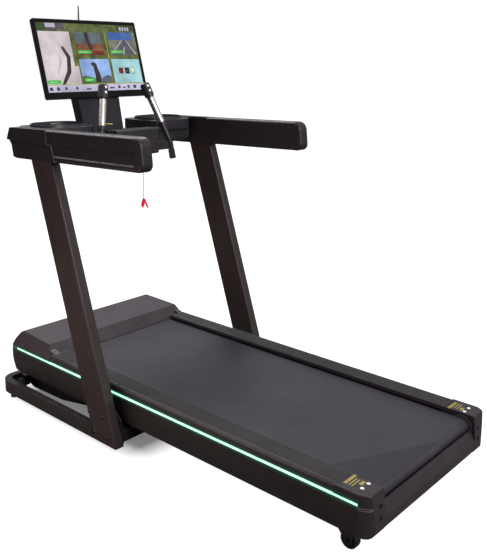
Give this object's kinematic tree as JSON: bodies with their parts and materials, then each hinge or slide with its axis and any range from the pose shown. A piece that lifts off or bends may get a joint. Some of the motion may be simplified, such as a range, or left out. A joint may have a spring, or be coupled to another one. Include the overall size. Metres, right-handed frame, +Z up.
{
  "type": "motorised treadmill",
  "caption": "Motorised treadmill with a powered incline, leaning uprights, handrails, grip handles, a console with trays and a large tilted screen.",
  "frame": {"origin": "on the floor, in the middle of the footprint", "axes": "+X to the right of a user who faces the screen, +Y forward along the deck towards the hood and screen, +Z up"},
  "size_m": [0.8634, 1.748, 1.57],
  "materials": {
    "frame_paint": "satin powder coat",
    "inner_frame_paint": "satin powder coat",
    "foot_rubber": "moulded",
    "upright_paint": "satin",
    "screw_steel": "blackened zinc",
    "handrail_shell": "satin moulded",
    "cover_shell": "satin moulded",
    "console_plastic": "fine texture",
    "tray_plastic": "fine texture",
    "neck_shell": "satin moulded",
    "bezel_gloss": "gloss",
    "display": "lit display under glass",
    "housing_plastic": "fine texture",
    "grip_tube_paint": "satin",
    "grip_sleeve_steel": "polished",
    "grip_head_plastic": "soft touch",
    "button_white": "satin",
    "socket_plastic": "fine texture",
    "key_plastic": "gloss",
    "lanyard_cord": "woven",
    "clip_plastic": "gloss",
    "antenna_plastic": "moulded",
    "actuator_metal": "cast",
    "screw_rod_steel": "turned",
    "cushion_rubber": "moulded",
    "board": "waxed phenolic facing",
    "belt": "fine diamond texture",
    "skirt_paint": "satin",
    "foot_rail_plastic": "grained",
    "light_strip": "lit diffuser",
    "hood_plastic": "fine texture",
    "apron_plastic": "fine texture",
    "end_cap_plastic": "fine texture",
    "cross_cover_plastic": "fine texture",
    "fork_steel": "satin",
    "motor_steel": "gloss enamel",
    "drive_belt_rubber": "ribbed",
    "controller_metal": "anodised",
    "power_plastic": "fine texture",
    "roller_steel": "ground",
    "rotor_steel": "turned",
    "wheel_rubber": "moulded",
    "rocker_plastic": "gloss"
  },
  "bodies": {
    "base": {"base_side_rails": "frame_paint", "base_cross_tubes": "frame_paint", "base_feet": "foot_rubber", "left_upright": "upright_paint", "right_upright": "upright_paint", "upright_bolts": "screw_steel", "left_handrail": "handrail_shell", "right_handrail": "handrail_shell", "handrail_front_covers": "cover_shell", "console_body": "console_plastic", "phone_rest": "console_plastic", "console_trays": "tray_plastic", "screen_neck": "neck_shell", "screen_bezel": "bezel_gloss", "display_panel": "display", "screen_housing": "housing_plastic", "grip_tubes": "grip_tube_paint", "grip_sleeves": "grip_sleeve_steel", "grip_heads": "grip_head_plastic", "key_socket": "socket_plastic", "lift_actuator": "actuator_metal"},
    "deck": {"deck_side_rails": "inner_frame_paint", "deck_crossmembers": "inner_frame_paint", "deck_cushions": "cushion_rubber", "running_board": "board", "running_belt": "belt", "left_skirt": "skirt_paint", "right_skirt": "skirt_paint", "foot_rails": "foot_rail_plastic", "light_strips": "light_strip", "hood": "hood_plastic", "front_apron": "apron_plastic", "left_end_cap": "end_cap_plastic", "right_end_cap": "end_cap_plastic", "end_cap_screws": "screw_steel", "rear_cross_cover": "cross_cover_plastic", "wheel_forks": "fork_steel", "drive_motor": "motor_steel", "drive_belt": "drive_belt_rubber", "motor_controller": "controller_metal", "power_panel": "power_plastic"},
    "left_front_wheel": {"left_front_wheel": "wheel_rubber"},
    "right_front_wheel": {"right_front_wheel": "wheel_rubber"},
    "left_rear_wheel": {"left_rear_wheel": "wheel_rubber"},
    "right_rear_wheel": {"right_rear_wheel": "wheel_rubber"},
    "front_roller": {"front_roller": "roller_steel"},
    "rear_roller": {"rear_roller": "roller_steel"},
    "motor_rotor": {"motor_rotor": "rotor_steel"},
    "lift_frame": {"lift_frame": "frame_paint"},
    "lift_screw": {"lift_screw": "screw_rod_steel"},
    "left_button_lower": {"left_button_lower": "button_white"},
    "left_button_upper": {"left_button_upper": "button_white"},
    "right_button_lower": {"right_button_lower": "button_white"},
    "right_button_upper": {"right_button_upper": "button_white"},
    "antenna": {"antenna": "antenna_plastic"},
    "safety_key": {"safety_key": "key_plastic", "lanyard_cord": "lanyard_cord", "clip_lever": "clip_plastic"},
    "clip_jaw": {"clip_jaw": "clip_plastic"},
    "power_rocker": {"power_rocker": "rocker_plastic"}
  },
  "joints": [
    {"name": "deck_incline", "type": "hinge", "parent": "base", "child": "deck", "pos_m": [0, -0.777, 0.028], "axis": [1, 0, 0], "range_deg": [0, 8.5]},
    {"name": "lift_frame_pivot", "type": "hinge", "parent": "base", "child": "lift_frame", "pos_m": [0, 0.822, 0.042], "axis": [-1, 0, 0], "range_deg": [0, 19.2]},
    {"name": "lift_screw_slide", "type": "slide", "parent": "base", "child": "lift_screw", "axis": [0, 1, 0], "range_m": [0, 0.0168]},
    {"name": "left_front_wheel_spin", "type": "hinge", "parent": "base", "child": "left_front_wheel", "pos_m": [-0.36, 0.816, 0.03], "axis": [1, 0, 0], "continuous": true},
    {"name": "right_front_wheel_spin", "type": "hinge", "parent": "base", "child": "right_front_wheel", "pos_m": [0.36, 0.816, 0.03], "axis": [1, 0, 0], "continuous": true},
    {"name": "left_rear_wheel_spin", "type": "hinge", "parent": "deck", "child": "left_rear_wheel", "pos_m": [-0.303, -0.777, 0.028], "axis": [1, 0, 0], "continuous": true},
    {"name": "right_rear_wheel_spin", "type": "hinge", "parent": "deck", "child": "right_rear_wheel", "pos_m": [0.303, -0.777, 0.028], "axis": [1, 0, 0], "continuous": true},
    {"name": "front_roller_spin", "type": "hinge", "parent": "deck", "child": "front_roller", "pos_m": [0, 0.64, 0.1658], "axis": [1, 0, 0], "continuous": true},
    {"name": "rear_roller_spin", "type": "hinge", "parent": "deck", "child": "rear_roller", "pos_m": [0, -0.821, 0.1718], "axis": [1, 0, 0], "continuous": true},
    {"name": "motor_spin", "type": "hinge", "parent": "deck", "child": "motor_rotor", "pos_m": [0, 0.752, 0.17], "axis": [1, 0, 0], "continuous": true},
    {"name": "left_button_lower_press", "type": "slide", "parent": "base", "child": "left_button_lower", "axis": [-0.0838, 0.9606, -0.265], "range_m": [0, 0.001], "stiffness_N_per_m": 600},
    {"name": "left_button_upper_press", "type": "slide", "parent": "base", "child": "left_button_upper", "axis": [-0.0838, 0.9606, -0.265], "range_m": [0, 0.001], "stiffness_N_per_m": 600},
    {"name": "right_button_lower_press", "type": "slide", "parent": "base", "child": "right_button_lower", "axis": [0.0838, 0.9606, -0.265], "range_m": [0, 0.001], "stiffness_N_per_m": 600},
    {"name": "right_button_upper_press", "type": "slide", "parent": "base", "child": "right_button_upper", "axis": [0.0838, 0.9606, -0.265], "range_m": [0, 0.001], "stiffness_N_per_m": 600},
    {"name": "antenna_fold", "type": "hinge", "parent": "base", "child": "antenna", "pos_m": [-0.018, 0.80584, 1.502], "axis": [-1, 0, 0], "range_deg": [0, 90]},
    {"name": "safety_key_pull", "type": "slide", "parent": "base", "child": "safety_key", "axis": [0, -1, 0], "range_m": [0, 0.03]},
    {"name": "clip_jaw_open", "type": "hinge", "parent": "safety_key", "child": "clip_jaw", "pos_m": [0.01324, 0.44776, 0.797], "axis": [0.7071, 0.7071, 0], "range_deg": [0, 20], "stiffness_Nm_per_rad": 0.05},
    {"name": "power_rocker_tilt", "type": "hinge", "parent": "deck", "child": "power_rocker", "pos_m": [0.23, 0.856, 0.127], "axis": [1, 0, 0], "range_deg": [0, 14]}
  ],
  "couplings": [
    {"joint": "lift_frame_pivot", "follows": "deck_incline", "ratio": 2.2351},
    {"joint": "lift_screw_slide", "follows": "deck_incline", "m_per_rad": 0.1112},
    {"joint": "rear_roller_spin", "follows": "front_roller_spin", "ratio": 1.25},
    {"joint": "motor_spin", "follows": "front_roller_spin", "ratio": 2.5714}
  ]
}
